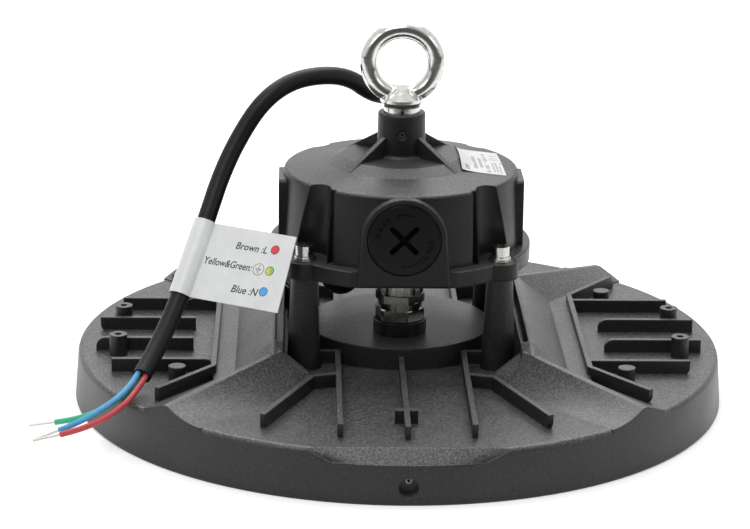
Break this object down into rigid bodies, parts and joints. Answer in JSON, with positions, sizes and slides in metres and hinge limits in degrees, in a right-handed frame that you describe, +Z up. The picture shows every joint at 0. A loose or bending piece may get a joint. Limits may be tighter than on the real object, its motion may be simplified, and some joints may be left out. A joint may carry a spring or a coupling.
{
  "type": "high bay light",
  "caption": "Round industrial high bay light with a finned black heat sink, a driver housing on posts, an eye bolt to hang it by and a pre-wired cable with bare cores.",
  "frame": {"origin": "middle of the rim's lower face, on the floor it stands on", "axes": "+Z up along the eye bolt, -Y towards the port plug at the front, +X to the right seen from the front"},
  "size_m": [0.3359, 0.32, 0.1865],
  "materials": {
    "black_casting": "semi-gloss black powder coat on die-cast aluminium",
    "board": "white solder mask on an aluminium core board",
    "lamp_phosphor": "yellow phosphor",
    "stainless": "plain stainless steel",
    "lens": "clear, smooth",
    "seal_rubber": "matt silicone",
    "dark_plate": "black coated plate",
    "driver_case": "plain aluminium case",
    "zinc_bright": "bright zinc plate",
    "black_plastic": "glossy black nylon",
    "black_nylon": "satin black nylon",
    "nickel_brass": "nickel plated",
    "cable_sheath": "satin black rubber sheath",
    "core_blue": "satin insulation",
    "core_red": "satin insulation",
    "core_green": "satin insulation",
    "copper_strand": "tinned copper",
    "label_film": "white film, folded and stuck to itself"
  },
  "bodies": {
    "fixture": {"heat_sink": "black_casting", "driver_housing": "black_casting", "led_board": "board", "leds": "lamp_phosphor", "board_screws": "stainless", "lens_plate": "lens", "lens_seal": "seal_rubber", "lens_screws": "stainless", "housing_cover": "dark_plate", "housing_seal": "seal_rubber", "cover_screws": "stainless", "driver_module": "driver_case", "eye_bolt": "zinc_bright", "eye_bolt_washer": "zinc_bright", "grub_screw": "stainless", "link_ring": "black_nylon", "link_gland": "nickel_brass", "link_nut": "nickel_brass", "link_sleeve": "black_nylon", "elbow_gland": "black_nylon", "elbow_nut": "black_nylon", "rim_screw": "stainless", "power_cable": "cable_sheath", "core_blue": "core_blue", "core_red": "core_red", "core_green": "core_green", "core_strands": "copper_strand", "wire_label": "label_film", "flat_washer_left_front": "stainless", "spring_washer_left_front": "stainless", "post_screw_left_front": "stainless", "flat_washer_left_rear": "stainless", "spring_washer_left_rear": "stainless", "post_screw_left_rear": "stainless", "flat_washer_right_front": "stainless", "spring_washer_right_front": "stainless", "post_screw_right_front": "stainless", "flat_washer_right_rear": "stainless", "spring_washer_right_rear": "stainless", "post_screw_right_rear": "stainless"},
    "plug": {"port_plug": "black_plastic", "port_seal": "seal_rubber"}
  },
  "joints": [
    {"name": "plug_turn", "type": "hinge", "parent": "fixture", "child": "plug", "pos_m": [0, -0.0604, 0.0942], "axis": [0, -1, 0], "range_deg": [0, 45]}
  ]
}
